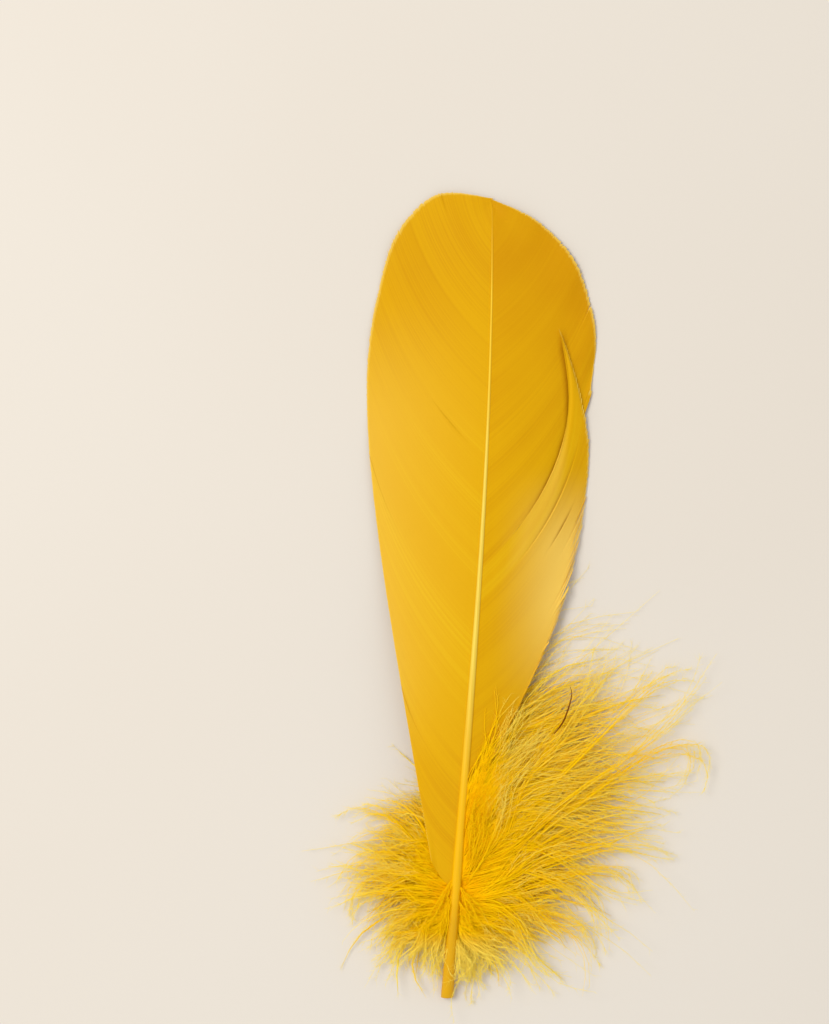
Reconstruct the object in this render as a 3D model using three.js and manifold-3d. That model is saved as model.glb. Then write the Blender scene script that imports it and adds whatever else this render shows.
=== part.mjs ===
// A dyed goose feather lying on a flat surface with its rounded side up.
// A hollow quill runs on into the tapering shaft. A vane of barbs grows along each side of the shaft,
// and loose down grows from its lower end. Millimetres, +Y from the quill to the tip, +Z up.
import * as THREE from 'three';
import { mergeVertices } from 'three/addons/utils/BufferGeometryUtils.js';
import Module from 'manifold-3d';

const wasm = await Module();
wasm.setup();

const { lerp, degToRad, smoothstep } = THREE.MathUtils;

// Driving dimensions
const featherLength = 170; // quill end to the crown of the vane
const shaftLength = 167; // the shaft stops just short of the crown
const quillRadius = 1.35;
const shaftTipRadius = 0.17;
const shaftTaper = 1.55; // power of the taper: the quill thins fast and the upper shaft slowly
const quillBoreRadius = 0.8;
const quillBoreDepth = 13;
const shaftLean = [12, 6, -8.5]; // terms of the cubic that carries the shaft to the right on its way up
const archHeight = 6.2; // how far the shaft bows up between the quill end and the crown
const archLean = 0.75; // under 1 puts the top of the bow nearer the quill
const crownHeight = 0.55; // height of the shaft's far end over the surface
const seam = 0.3; // clear gap between neighbouring pieces
const sliverSize = 0.01; // thinner triangles that a join leaves are welded away
const vaneThickness = 0.4; // at the shaft
const vaneEdgeThickness = 0.24;
const vaneSeat = 0.2; // share of the shaft's radius by which the vanes leave it above its middle
const lastRoot = 166.4; // height along the shaft of the topmost barb
const barbBow = 0.13; // how far a barb bows outwards, as a share of its length
const droopPower = 1.7; // over 1 keeps a vane level near the shaft and turns it down towards its edge
const ruffleHeight = 0.45; // waves along the free edge of a vane
const ruffleCount = 5.3;
const ruffleSlant = 0.4; // waves across a barb's length
const ruffleStart = 0.55; // share of a barb's length that stays smooth

// Each vane's free edge, listed at evenly spaced barbs from the lowest to the topmost.
// A split is a slit between two barbs: which barb, where along it the slit starts, and its mouth.
const leftVane = {
  name: 'left_vane',
  sign: -1,
  firstRoot: 24,
  reach: 25.7, // distance from the shaft at which the vane has come down to the surface
  edge: [[-3.4, 29.7], [-9, 62], [-13.8, 92], [-16.5, 116], [-16.8, 134], [-14.6, 148.5],
    [-10.6, 161], [-3.4, 168.2], [8.2, 169.8]],
  splits: [
    { barb: 0.12, start: 0.72, mouth: 0.6 },
    { barb: 0.36, start: 0.8, mouth: 0.5 },
    { barb: 0.885, start: 0.7, mouth: 0.7 },
  ],
};
const rightVane = {
  name: 'right_vane',
  sign: 1,
  firstRoot: 42,
  reach: 22.4,
  edge: [[9.5, 51], [23.3, 80], [29.2, 105], [30.2, 126], [31.5, 138.5], [29.8, 148],
    [26.2, 156.5], [18.8, 163.9], [10.4, 169]],
  splits: [
    { barb: 0.1, start: 0.6, mouth: 0.8 },
    { barb: 0.18, start: 0.66, mouth: 0.8 },
    { barb: 0.26, start: 0.62, mouth: 0.9 },
    { barb: 0.32, start: 0.55, mouth: 1.1 },
    { barb: 0.39, start: 0.5, mouth: 1.9 },
    { barb: 0.6, start: 0.86, mouth: 0.6 },
  ],
};

// The down on each side: locks fan out from the shaft, from beside the quill to under the vane.
// Lengths are listed at evenly spaced locks, lowest to highest.
const leftDown = {
  name: 'left_down',
  sign: -1,
  locks: 20,
  roots: [12.5, 34], // heights along the shaft of the lowest and the highest lock
  fan: [150, 34], // degrees from the +Y axis
  lengths: [11, 20, 25, 25, 20],
};
const rightDown = {
  name: 'right_down',
  sign: 1,
  locks: 30,
  roots: [12, 47],
  fan: [152, 36],
  lengths: [12.5, 28, 44, 46, 31],
};
const lockRootHalfWidth = 1.3;
const fullLockHalfWidth = 3; // at the fattest part
const wispLockHalfWidth = 1.7; // every other lock is a wisp, thinner and longer
const wispLonger = 1.12;
const lockTipHalfWidth = 0.25;
const lockFlatness = 0.5; // thickness of a lock over its width
const lockFattest = 0.55; // share of the length at which a lock is fattest
const lockDrop = 0.85; // locks leave the shaft this far below its middle
const lockBow = 18; // degrees: locks start out nearer the tip and droop back towards the quill
const lockStray = 15; // degrees by which neighbouring locks stray from an even fan
const lockLayers = [ // rise of a lock midway over its root, and the height of its tip
  { rise: -3.4, tip: 0.4 },
  { rise: 0, tip: 2.2 },
  { rise: 2.8, tip: 4.4 },
];
const lockSides = 6;
const lockSteps = 5;
const coveredLock = { rise: -2.8, tip: 0.7 }; // the highest locks lie under the vane
const coveredRanks = [0.45, 0.8]; // shares of the locks from which they dip, and from which they are under it
const goldenShare = 0.618;

const dyedVane = new THREE.MeshStandardMaterial({ name: 'vane', color: 0xe0a81a, roughness: 0.55 });
const dyedShaft = new THREE.MeshStandardMaterial({ name: 'shaft', color: 0xf0c637, roughness: 0.35 });
const dyedDown = new THREE.MeshStandardMaterial({ name: 'down', color: 0xe6b424, roughness: 0.8 });

// The shaft's line: it leans to the right on its way up, and bows off the surface.
function shaftX(y) {
  const u = y / featherLength;
  return u * (shaftLean[0] + shaftLean[1] * u + shaftLean[2] * u * u);
}

function shaftZ(y) {
  const u = Math.min(Math.max(y / featherLength, 0), 1);
  return lerp(quillRadius, crownHeight, u) + archHeight * Math.sin(Math.PI * u ** archLean);
}

function shaftRadius(y) {
  const u = Math.min(Math.max(y / shaftLength, 0), 1);
  return lerp(shaftTipRadius, quillRadius, (1 - u) ** shaftTaper);
}

// Bends a closed unit geometry: place(x, y, z) says where each of its points goes.
function bent(geometry, place) {
  const weldDistance = 1e-5;
  geometry.deleteAttribute('normal');
  geometry.deleteAttribute('uv');
  const shape = mergeVertices(geometry, weldDistance);
  const position = shape.getAttribute('position');
  const point = new THREE.Vector3();
  for (let i = 0; i < position.count; i++) {
    point.fromBufferAttribute(position, i);
    point.copy(place(point.x, point.y, point.z));
    position.setXYZ(i, point.x, point.y, point.z);
  }
  return shape;
}

function toSolid(geometry) {
  return new wasm.Manifold(new wasm.Mesh({
    numProp: 3,
    vertProperties: geometry.getAttribute('position').array,
    triVerts: new Uint32Array(geometry.index.array),
  }));
}

function toMesh(solid, name, material) {
  const { vertProperties, triVerts } = solid.simplify(sliverSize).getMesh();
  const geometry = new THREE.BufferGeometry();
  geometry.setAttribute('position', new THREE.BufferAttribute(vertProperties, 3));
  geometry.setIndex(new THREE.BufferAttribute(triVerts, 1));
  geometry.computeVertexNormals();
  const mesh = new THREE.Mesh(geometry, material);
  mesh.name = name;
  return mesh;
}

// A round bar along the shaft's line from one height to another.
function bar(fromY, toY, radiusAt, steps) {
  const sides = 12;
  return toSolid(bent(new THREE.CylinderGeometry(1, 1, 1, sides, steps), (x, y, z) => {
    const along = lerp(fromY, toY, y + 0.5);
    const radius = radiusAt(along);
    return new THREE.Vector3(shaftX(along) + x * radius, along, shaftZ(along) + z * radius);
  }));
}

function makeShaft() {
  const boreMouth = -1; // the cutter starts outside the quill's cut end
  const boreSteps = 4;
  const shaftSteps = 26;
  const bore = bar(boreMouth, quillBoreDepth, () => quillBoreRadius, boreSteps);
  return toMesh(bar(0, shaftLength, shaftRadius, shaftSteps).subtract(bore), 'shaft', dyedShaft);
}

// Height of a vane over the surface: level with the shaft beside it and down at the surface at its reach.
function vaneZ(vane, x, y) {
  const away = Math.min(Math.abs(x - shaftX(y)) / vane.reach, 1) ** droopPower;
  return lerp(shaftZ(y) + vaneSeat * shaftRadius(y), vaneEdgeThickness / 2, away);
}

// A point of a vane: barb runs 0 to 1 from the lowest to the topmost, along runs 0 to 1 from the shaft out.
function vanePoint(vane, barb, along) {
  const rootY = lerp(vane.firstRoot, lastRoot, barb);
  const root = new THREE.Vector2(shaftX(rootY) + vane.sign * (shaftRadius(rootY) + seam), rootY);
  const tip = vane.curve.getPoint(barb);
  const span = tip.clone().sub(root);
  const bow = new THREE.Vector2(span.y, -span.x).multiplyScalar(vane.sign * barbBow);
  const middle = root.clone().lerp(tip, 0.5).add(bow);
  const line = new THREE.QuadraticBezierCurve(root, middle, tip);
  const { x, y } = line.getPoint(along);
  const wave = 0.5 + 0.5 * Math.sin(2 * Math.PI * (ruffleCount * barb + ruffleSlant * along));
  const ruffle = ruffleHeight * wave * smoothstep(along, ruffleStart, 1);
  return new THREE.Vector3(x, y, vaneZ(vane, x, y) + ruffle);
}

// A wedge that cuts one slit between two barbs, open at the vane's free edge.
function slit(vane, { barb, start, mouth }) {
  const overrun = 0.06; // past the free edge
  const depth = 3;
  const steps = 6;
  const innerWidth = 0.02;
  const stepBack = 0.02; // along the barb, to find which way it heads
  return toSolid(bent(new THREE.BoxGeometry(1, 1, 1, 1, steps, 1), (x, y, z) => {
    const along = lerp(start, 1 + overrun, y + 0.5);
    const middle = vanePoint(vane, barb, Math.min(along, 1));
    const before = vanePoint(vane, barb, Math.min(along, 1) - stepBack);
    const heading = middle.clone().sub(before).setZ(0).normalize();
    const across = new THREE.Vector3(heading.y, -heading.x, 0);
    const beyond = Math.max(along - 1, 0) * featherLength;
    const width = lerp(innerWidth, mouth, (along - start) / (1 - start));
    const height = middle.z + z * depth;
    return middle.addScaledVector(heading, beyond).addScaledVector(across, x * width).setZ(height);
  }));
}

function makeVane(vane) {
  vane.curve = new THREE.SplineCurve(vane.edge.map(([x, y]) => new THREE.Vector2(x, y)));
  const barbSteps = 32;
  const alongSteps = 8;
  const blade = toSolid(bent(new THREE.BoxGeometry(1, 1, 1, barbSteps, alongSteps, 1), (x, y, z) => {
    const barb = 0.5 - vane.sign * x;
    const along = y + 0.5;
    const point = vanePoint(vane, barb, along);
    return point.setZ(point.z + z * lerp(vaneThickness, vaneEdgeThickness, along));
  }));
  const cut = vane.splits.reduce((solid, split) => solid.subtract(slit(vane, split)), blade);
  return toMesh(cut, vane.name, dyedVane);
}

// One lock of down: a flattened tuft along a drooping curve, fattest past its middle and pointed at its end.
function lock(down, index) {
  const rank = index / (down.locks - 1);
  const stray = (index * goldenShare) % 1 - 0.5; // differs from lock to lock
  const wisp = index % 2 === 1;
  const layer = lockLayers[index % lockLayers.length];
  const covered = smoothstep(rank, coveredRanks[0], coveredRanks[1]);
  const rise = lerp(layer.rise, coveredLock.rise, covered);
  const tipHeight = lerp(layer.tip, coveredLock.tip, covered);
  const halfWidth = wisp ? wispLockHalfWidth : fullLockHalfWidth;
  const length = down.lengthCurve.getPoint(rank).y * (wisp ? wispLonger : 1);
  const turn = degToRad(lerp(down.fan[0], down.fan[1], rank) + lockStray * stray);
  const rootY = lerp(down.roots[0], down.roots[1], rank);
  const rootX = shaftX(rootY) + down.sign * (shaftRadius(rootY) + seam + lockRootHalfWidth * lockFlatness);
  const root = new THREE.Vector3(rootX, rootY, shaftZ(rootY) - lockDrop);
  const reach = (angle, distance, height) => new THREE.Vector3(
    rootX + down.sign * Math.sin(angle) * distance, rootY + Math.cos(angle) * distance, height);
  const control = reach(turn - degToRad(lockBow), length / 2, root.z + rise);
  const line = new THREE.QuadraticBezierCurve3(root, control, reach(turn, length, tipHeight));
  const up = new THREE.Vector3(0, 0, 1);
  return toSolid(bent(new THREE.CylinderGeometry(1, 1, 1, lockSides, lockSteps), (x, y, z) => {
    const along = y + 0.5;
    const across = line.getTangent(along).setZ(0).normalize().cross(up);
    const swell = along < lockFattest
      ? lerp(lockRootHalfWidth, halfWidth, smoothstep(along, 0, lockFattest))
      : lerp(halfWidth, lockTipHalfWidth, (along - lockFattest) / (1 - lockFattest));
    const side = across.multiplyScalar(x * swell);
    return line.getPoint(along).add(side).addScaledVector(up, z * swell * lockFlatness);
  }));
}

// The locks of one side grown together, pressed flat where they lie on the surface.
function makeDown(down) {
  down.lengthCurve = new THREE.SplineCurve(down.lengths.map((length, i) => new THREE.Vector2(i, length)));
  const locks = Array.from({ length: down.locks }, (_, index) => lock(down, index));
  const size = 3 * featherLength;
  const belowSurface = new THREE.BoxGeometry(size, size, size).translate(0, 0, -size / 2);
  const surface = toSolid(bent(belowSurface, (x, y, z) => new THREE.Vector3(x, y, z)));
  const grown = locks.reduce((solid, next) => solid.add(next)).subtract(surface);
  return toMesh(grown, down.name, dyedDown);
}

// The origin is on the surface, under the middle of the feather's outline.
const feather = new THREE.Group();
feather.add(makeShaft(), makeVane(leftVane), makeVane(rightVane), makeDown(leftDown), makeDown(rightDown));
const box = new THREE.Box3().setFromObject(feather);
const centre = box.getCenter(new THREE.Vector3());
feather.position.set(-centre.x, -centre.y, -box.min.z);

const part = new THREE.Group();
part.add(feather);

export default part;
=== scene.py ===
import bpy
import numpy as np
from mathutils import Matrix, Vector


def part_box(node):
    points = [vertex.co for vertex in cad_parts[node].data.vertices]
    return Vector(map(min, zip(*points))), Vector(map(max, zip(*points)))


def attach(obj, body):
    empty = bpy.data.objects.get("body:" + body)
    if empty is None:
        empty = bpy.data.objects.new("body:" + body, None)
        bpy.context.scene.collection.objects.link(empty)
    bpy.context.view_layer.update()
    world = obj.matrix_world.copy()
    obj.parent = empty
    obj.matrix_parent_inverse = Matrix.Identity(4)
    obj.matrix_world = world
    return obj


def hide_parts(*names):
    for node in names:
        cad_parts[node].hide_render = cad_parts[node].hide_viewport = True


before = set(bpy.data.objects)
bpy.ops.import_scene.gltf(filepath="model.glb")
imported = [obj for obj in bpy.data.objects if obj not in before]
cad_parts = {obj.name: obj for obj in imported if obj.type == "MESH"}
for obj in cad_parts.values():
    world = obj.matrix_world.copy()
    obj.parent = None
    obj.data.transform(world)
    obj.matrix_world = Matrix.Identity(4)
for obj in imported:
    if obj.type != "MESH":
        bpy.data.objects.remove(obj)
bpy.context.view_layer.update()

mm = 0.001
up = np.array([0.0, 0.0, 1.0])

# Shapes are worked out in millimetres from the middle of the quill's cut end, +Y towards the crown.
shaft = {
    "length": 167.0, "featherLength": 170.0,
    "quillRadius": 1.35, "tipRadius": 0.17, "taper": 1.55,
    "lean": (12.0, 6.0, -8.5),                      # cubic that carries the shaft to the right
    "arch": 6.2, "archLean": 0.75, "crownHeight": 0.55,
    "point": 0.65, "pointLength": 9.0,               # how far, and from where, the tip narrows
    "boreRadius": 0.8, "boreDepth": 13.0, "boreClosed": 0.98, "boreClosing": 3.0, "boreTint": (0.1, 1.5),
    "squareness": 0.3, "squareHeights": (18.0, 50.0), "groove": 0.45, "grooveWidth": 0.5,
    "rim": 0.14, "rings": 150, "sides": 28, "rimSteps": 7, "boreSteps": 16,
}
quillEnd = np.array([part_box("shaft")[0].x / mm + shaft["quillRadius"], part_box("shaft")[0].y / mm, 0.0])


# Cubic ease from 0 at low to 1 at high.
def ease(value, low, high):
    t = np.clip((value - low) / (high - low), 0.0, 1.0)
    return t * t * (3.0 - 2.0 * t)


def mix(a, b, share):
    return a + (b - a) * share


def unit(vectors):
    return vectors / np.maximum(np.linalg.norm(vectors, axis=-1, keepdims=True), 1e-9)


# Catmull-Rom: passes through every listed point, with each slope taken from the two neighbours.
def curveThrough(points, share):
    points = np.asarray(points, float)
    last = len(points) - 1
    at = np.clip(share, 0.0, 1.0) * last
    i = np.minimum(at.astype(int), last - 1)
    w = (at - i)[..., None]
    before, start = points[np.maximum(i - 1, 0)], points[i]
    end, after = points[i + 1], points[np.minimum(i + 2, last)]
    slopeIn, slopeOut = (end - before) / 2, (after - start) / 2
    return ((2 * w**3 - 3 * w**2 + 1) * start + (w**3 - 2 * w**2 + w) * slopeIn
            + (3 * w**2 - 2 * w**3) * end + (w**3 - w**2) * slopeOut)


bellEnd = 1.6


# Random values in a bell curve about 0 with its long ends cut off.
def bell(rng, size):
    return np.clip(rng.normal(size=size), -bellEnd, bellEnd)


# Smooth random line: random heights between -1 and 1 at even steps, joined by a Catmull-Rom curve.
def randomLine(rng, share, steps):
    return curveThrough(rng.uniform(-1.0, 1.0, (steps + 1, 1)), share)[..., 0]


# The shaft's line: a cubic sideways, a leaning half sine wave upwards, and a radius that tapers by a power
# and then to the tip.
def shaftX(y):
    u = y / shaft["featherLength"]
    return u * (shaft["lean"][0] + shaft["lean"][1] * u + shaft["lean"][2] * u * u)


def shaftZ(y):
    u = np.clip(y / shaft["featherLength"], 0.0, 1.0)
    bow = shaft["arch"] * np.sin(np.pi * u ** shaft["archLean"])
    return mix(shaft["quillRadius"], shaft["crownHeight"], u) + bow


def shaftRadius(y):
    u = np.clip(y / shaft["length"], 0.0, 1.0)
    pointed = 1.0 - shaft["point"] * ease(y, shaft["length"] - shaft["pointLength"], shaft["length"])
    return mix(shaft["tipRadius"], shaft["quillRadius"], (1.0 - u) ** shaft["taper"]) * pointed


# Mesh from arrays: corners in millimetres, each face's corner count and corners, and one value per corner for
# each attribute.
def arrayMesh(name, corners, counts, faces, attributes, material, smooth=None):
    mesh = bpy.data.meshes.new(name)
    mesh.vertices.add(len(corners))
    mesh.vertices.foreach_set("co", ((corners + quillEnd) * mm).astype(np.float32).reshape(-1))
    mesh.loops.add(len(faces))
    mesh.loops.foreach_set("vertex_index", faces.astype(np.int32))
    mesh.polygons.add(len(counts))
    mesh.polygons.foreach_set("loop_start", (np.cumsum(counts) - counts).astype(np.int32))
    mesh.update(calc_edges=True)
    mesh.polygons.foreach_set("use_smooth", np.zeros(len(counts), bool) if smooth is None else smooth)
    for key, values in attributes.items():
        layer = mesh.attributes.new(key, "FLOAT", "POINT")
        layer.data.foreach_set("value", values.astype(np.float32))
    mesh.materials.append(material)
    piece = bpy.data.objects.new(name, mesh)
    bpy.context.collection.objects.link(piece)
    print(name, len(corners), "points,", int((counts - 2).sum()), "triangles")
    return piece


# Profiles carried along paths: rings is (paths, steps, sides, 3). Quads join each ring to the next, and a cap
# closes each end. Attributes are given per path or per step.
def carriedMesh(name, rings, attributes, material, smooth=True, sharpSides=()):
    paths, steps, sides, _ = rings.shape
    index = np.arange(paths * steps * sides).reshape(paths, steps, sides)
    near, far = index[:, :-1], index[:, 1:]
    quads = np.stack([near, far, np.roll(far, -1, 2), np.roll(near, -1, 2)], axis=-1).reshape(-1)
    caps = np.concatenate([index[:, 0], index[:, -1, ::-1]]).reshape(-1)
    counts = np.concatenate([np.full(quads.size // 4, 4), np.full(2 * paths, sides)])
    spread = {}
    for key, values in attributes.items():
        values = np.asarray(values, float)
        values = values.reshape(values.shape + (1,) * (3 - values.ndim))
        spread[key] = np.broadcast_to(values, index.shape).reshape(-1)
    faces = np.concatenate([quads, caps])
    rounded = (np.arange(len(counts)) < quads.size // 4) & smooth       # the caps stay flat
    piece = arrayMesh(name, rings.reshape(-1, 3), counts, faces, spread, material, rounded)
    if sharpSides:
        mesh = piece.data
        ends = np.empty(len(mesh.edges) * 2, np.int32)
        mesh.edges.foreach_get("vertices", ends)
        ends = ends.reshape(-1, 2)
        lengthwise = np.abs(ends[:, 0] - ends[:, 1]) == sides
        sharp = mesh.attributes.get("sharp_edge") or mesh.attributes.new("sharp_edge", "BOOLEAN", "EDGE")
        sharp.data.foreach_set("value", lengthwise & np.isin(ends[:, 0] % sides, sharpSides))
    return piece


needleFlatness = 0.5


# Needles: a small flat triangle about each root, across the needle, its three corners joined to the tip.
def needleMesh(name, roots, tips, radius, attributes, material):
    along = unit(tips - roots)
    side = unit(np.cross(along, up))
    top = np.cross(side, along)
    angle = 2 * np.pi * np.arange(3) / 3 + np.pi / 2
    upwards = needleFlatness * top[:, None]
    ring = side[:, None] * np.cos(angle)[:, None] + upwards * np.sin(angle)[:, None]
    corners = np.concatenate([roots[:, None] + ring * radius[:, None, None], tips[:, None]], axis=1)
    pattern = np.array([0, 3, 1, 1, 3, 2, 2, 3, 0, 0, 1, 2])    # three sides and the base
    faces = (np.arange(len(roots))[:, None] * 4 + pattern).reshape(-1)
    spread = {key: np.repeat(values, 4) for key, values in attributes.items()}
    counts = np.full(len(roots) * 4, 3)
    return arrayMesh(name, corners.reshape(-1, 3), counts, faces, spread, material)


# Tubes: a ring of sides points about each path point, across the path, with the given radius. Flatness
# squashes the ring's height.
def tubeRings(paths, radius, sides, roll, flatness):
    along = unit(np.gradient(paths, axis=1))
    side = unit(np.cross(along, up))
    top = np.cross(side, along)
    angle = roll[:, None] + 2 * np.pi * np.arange(sides) / sides
    sideways, upwards = np.cos(angle)[:, None, :, None], flatness * np.sin(angle)[:, None, :, None]
    across = side[:, :, None] * sideways + top[:, :, None] * upwards
    return paths[:, :, None] + across * radius[:, :, None, None]


def finishPiece(piece, node):
    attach(piece, "root")
    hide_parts(node)


# Materials

def makeMaterial(name):
    material = bpy.data.materials.new(name)
    material.use_nodes = True
    material.node_tree.nodes.clear()
    return material, material.node_tree


def addNode(tree, kind, settings=None, **inputs):
    made = tree.nodes.new("ShaderNode" + kind)
    for key, value in (settings or {}).items():
        setattr(made, key, value)
    for key, value in inputs.items():
        numbered = key[0] == "i" and key[1:].isdigit()
        socket = made.inputs[int(key[1:]) if numbered else key.replace("_", " ")]
        if isinstance(value, bpy.types.NodeSocket):
            tree.links.new(value, socket)
        else:
            socket.default_value = value
    return made


def attribute(tree, key):
    return addNode(tree, "Attribute", {"attribute_name": key}).outputs["Fac"]


# sRGB 0 to 255 turned into Blender's linear colour
def colour(red, green, blue):
    level = np.array([red, green, blue]) / 255.0
    linear = np.where(level <= 0.04045, level / 12.92, ((level + 0.055) / 1.055) ** 2.4)
    return (*linear.tolist(), 1.0)


def mixColour(tree, share, first, second):
    made = addNode(tree, "Mix", {"data_type": "RGBA"}, i0=share, i6=first, i7=second)
    return made.outputs[2]


def stretch(tree, value, low, high, outLow=0.0, outHigh=1.0):
    smooth = {"interpolation_type": "SMOOTHSTEP"}
    return addNode(tree, "MapRange", smooth, i0=value, i1=low, i2=high, i3=outLow, i4=outHigh).outputs[0]


def noise(tree, place, scale, detail):
    return addNode(tree, "TexNoise", Vector=place, Scale=scale, Detail=detail).outputs["Fac"]


def bumps(tree, height, dye):
    strength, distance = dye["bumpStrength"], dye["bumpDistance"]
    return addNode(tree, "Bump", Strength=strength, Distance=distance, Height=height).outputs[0]


# Thin keratin: a soft surface with some of the light let through from behind
def thinSurface(tree, tint, glow, through, bump, **surface):
    skin = addNode(tree, "BsdfPrincipled", Base_Color=tint, Normal=bump, **surface)
    behind = addNode(tree, "BsdfTranslucent", Color=glow, Normal=bump)
    both = addNode(tree, "MixShader", i0=through, i1=skin.outputs[0], i2=behind.outputs[0])
    addNode(tree, "OutputMaterial", Surface=both.outputs[0])


vaneDye = {
    "deep": colour(216, 152, 3), "main": colour(232, 177, 7), "bright": colour(242, 199, 23),
    "tan": colour(255, 214, 100), "rim": colour(250, 214, 94), "creaseShade": colour(162, 100, 2),
    "glow": colour(238, 184, 13), "through": 0.08,
    "toneMiddle": 0.5, "barbuleSpacing": 0.00016,
    "blotchScale": 30.0, "blotchDetail": 3.0, "blotchRange": (0.3, 0.75), "blotchShare": 0.7,
    "grainScale": 2600.0, "grainDetail": 2.0, "bumpStrength": 0.2, "bumpDistance": 0.00003,
    "roughRange": (0.3, 0.7), "rough": (0.5, 0.62), "shine": 0.06,
    "sheen": 0.01, "sheenRough": 0.4, "sheenTint": colour(255, 214, 120),
}


# Dyed barbs: each barb has its own tone, paler towards the lower edge, with a painted highlight along the
# free rim and painted shade in the creases, and fine barbules as bands across it.
def makeVaneMaterial():
    material, tree = makeMaterial("dyedVane")
    place = addNode(tree, "TexCoord").outputs["Object"]
    blotch = noise(tree, place, vaneDye["blotchScale"], vaneDye["blotchDetail"])
    tone = attribute(tree, "barbTone")
    dark = mixColour(tree, stretch(tree, tone, 0.0, vaneDye["toneMiddle"]), vaneDye["deep"], vaneDye["main"])
    blotched = stretch(tree, blotch, *vaneDye["blotchRange"], 0.0, vaneDye["blotchShare"])
    base = mixColour(tree, blotched, dark, vaneDye["main"])
    lit = mixColour(tree, stretch(tree, tone, vaneDye["toneMiddle"], 1.0), base, vaneDye["bright"])
    faded = mixColour(tree, attribute(tree, "faded"), lit, vaneDye["tan"])
    # painted highlight: the barbs' ends along the free rim are paler, as where light catches them
    rimHighlighted = mixColour(tree, attribute(tree, "rim"), faded, vaneDye["rim"])
    # painted shade: the creases beside the lock and along the splits are darkened
    creaseShaded = mixColour(tree, attribute(tree, "creaseShade"), rimHighlighted, vaneDye["creaseShade"])
    barbule = addNode(tree, "Math", {"operation": "SINE"}, i0=attribute(tree, "barbule")).outputs[0]
    grain = noise(tree, place, vaneDye["grainScale"], vaneDye["grainDetail"])
    height = addNode(tree, "Math", {"operation": "ADD"}, i0=barbule, i1=grain).outputs[0]
    bump = bumps(tree, height, vaneDye)
    rough = stretch(tree, blotch, *vaneDye["roughRange"], *vaneDye["rough"])
    thinSurface(tree, creaseShaded, vaneDye["glow"], vaneDye["through"], bump, Roughness=rough,
                Specular_IOR_Level=vaneDye["shine"], Sheen_Weight=vaneDye["sheen"],
                Sheen_Roughness=vaneDye["sheenRough"], Sheen_Tint=vaneDye["sheenTint"])
    return material


downDye = {
    "root": colour(255, 194, 0), "middle": colour(255, 211, 6), "tip": colour(255, 231, 98),
    "shade": colour(250, 184, 0), "darkLine": colour(122, 64, 10),
    "rootEnds": 0.4, "tipStarts": 0.6, "shadeTones": (0.05, 0.55), "shadeShare": 0.45,
    "darkLineTones": (-0.9, -0.1), "grainScale": 1800.0, "grainDetail": 2.0,
    "bumpStrength": 0.15, "bumpDistance": 0.00003, "rough": 0.65, "shine": 0.02,
}


# Dyed down: deep gold at the root and paler at the tip, each barb with its own tone. Low tones turn a deeper
# orange: partly the tufts' own hue, partly painted shade on the plumes underneath. A tone under 0 is the dark
# strand's brown.
def makeDownMaterial():
    material, tree = makeMaterial("dyedDown")
    along, tone = attribute(tree, "alongBarb"), attribute(tree, "barbTone")
    outwards = stretch(tree, along, 0.0, downDye["rootEnds"])
    lower = mixColour(tree, outwards, downDye["root"], downDye["middle"])
    whole = mixColour(tree, stretch(tree, along, downDye["tipStarts"], 1.0), lower, downDye["tip"])
    # low tones mix in the deeper orange: the tufts' own hue, and painted shade on the plumes underneath
    deep = stretch(tree, tone, *downDye["shadeTones"], downDye["shadeShare"], 0.0)
    shaded = mixColour(tree, deep, whole, downDye["shade"])
    # tones under 0 turn to the dark strand's brown
    darkLined = mixColour(tree, stretch(tree, tone, *downDye["darkLineTones"], 1.0, 0.0), shaded, downDye["darkLine"])
    place = addNode(tree, "TexCoord").outputs["Object"]
    bump = bumps(tree, noise(tree, place, downDye["grainScale"], downDye["grainDetail"]), downDye)
    skin = addNode(tree, "BsdfPrincipled", Base_Color=darkLined, Normal=bump, Roughness=downDye["rough"],
                   Specular_IOR_Level=downDye["shine"])
    addNode(tree, "OutputMaterial", Surface=skin.outputs[0])
    return material


shaftDye = {
    "quill": colour(232, 175, 4), "ridge": colour(247, 217, 82), "side": colour(241, 193, 26),
    "low": colour(250, 193, 0), "highRidgeHighlight": colour(250, 206, 40), "crown": colour(236, 180, 8),
    "bore": colour(196, 112, 4),
    # shares of the length over which one colour turns into the next
    "lowFrom": (0.08, 0.14), "paleFrom": (0.24, 0.46), "highFrom": (0.66, 0.8), "crownFrom": (0.87, 0.96),
    "through": 0.08, "ridgeHighlightRange": (0.1, 0.8),
    "streakScale": (2600.0, 60.0, 2600.0), "streakDetail": 3.0, "streakRange": (0.45, 0.8),
    "streakShare": 0.35, "bumpStrength": 0.3, "bumpDistance": 0.00004,
    "rough": 0.36, "shine": 0.22, "coat": 0.05, "coatRough": 0.25,
}
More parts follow.
